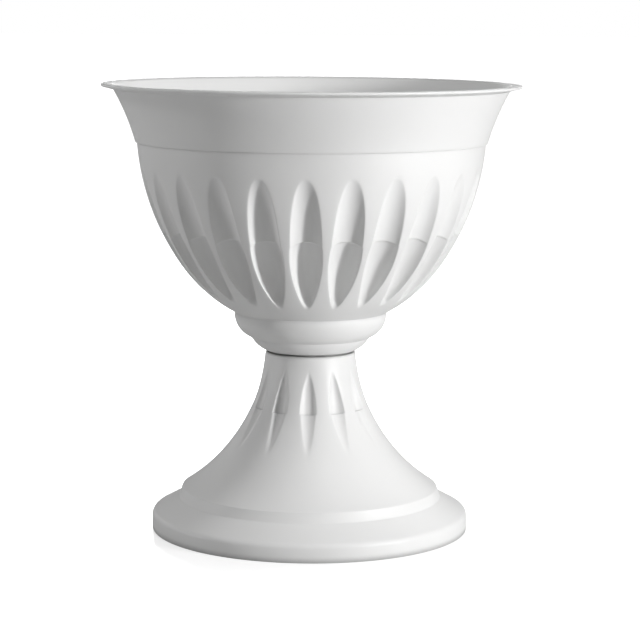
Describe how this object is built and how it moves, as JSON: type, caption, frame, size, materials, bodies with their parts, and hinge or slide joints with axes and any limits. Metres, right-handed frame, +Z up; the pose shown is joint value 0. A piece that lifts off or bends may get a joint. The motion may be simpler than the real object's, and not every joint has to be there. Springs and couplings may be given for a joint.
{
  "type": "chalice vase",
  "caption": "Tall chalice-shaped floor planter: a fluted open bowl with a turned-out lip lifts off a fluted, hollow, flared pedestal; the bowl's drain hole has a push-in plug.",
  "frame": {"origin": "centre of the foot ring on the ground, at the bottom of the vase", "axes": "+Z up along the axis of revolution from the foot to the lip; -Y towards the front, where one flute of the bowl and one of the pedestal face the viewer; +X to the viewer's right"},
  "size_m": [0.43, 0.4298, 0.462],
  "materials": {
    "plastic": "satin white",
    "plug": "soft white polyethylene"
  },
  "bodies": {
    "pedestal": {"pedestal": "plastic"},
    "bowl": {"bowl": "plastic"},
    "drain_plug": {"drain_plug": "plug"}
  },
  "joints": [
    {"name": "bowl_lift", "type": "slide", "parent": "pedestal", "child": "bowl", "axis": [0, 0, 1], "range_m": [0, 0.06]},
    {"name": "plug_lift", "type": "slide", "parent": "bowl", "child": "drain_plug", "axis": [0, 0, 1], "range_m": [0, 0.04]}
  ]
}
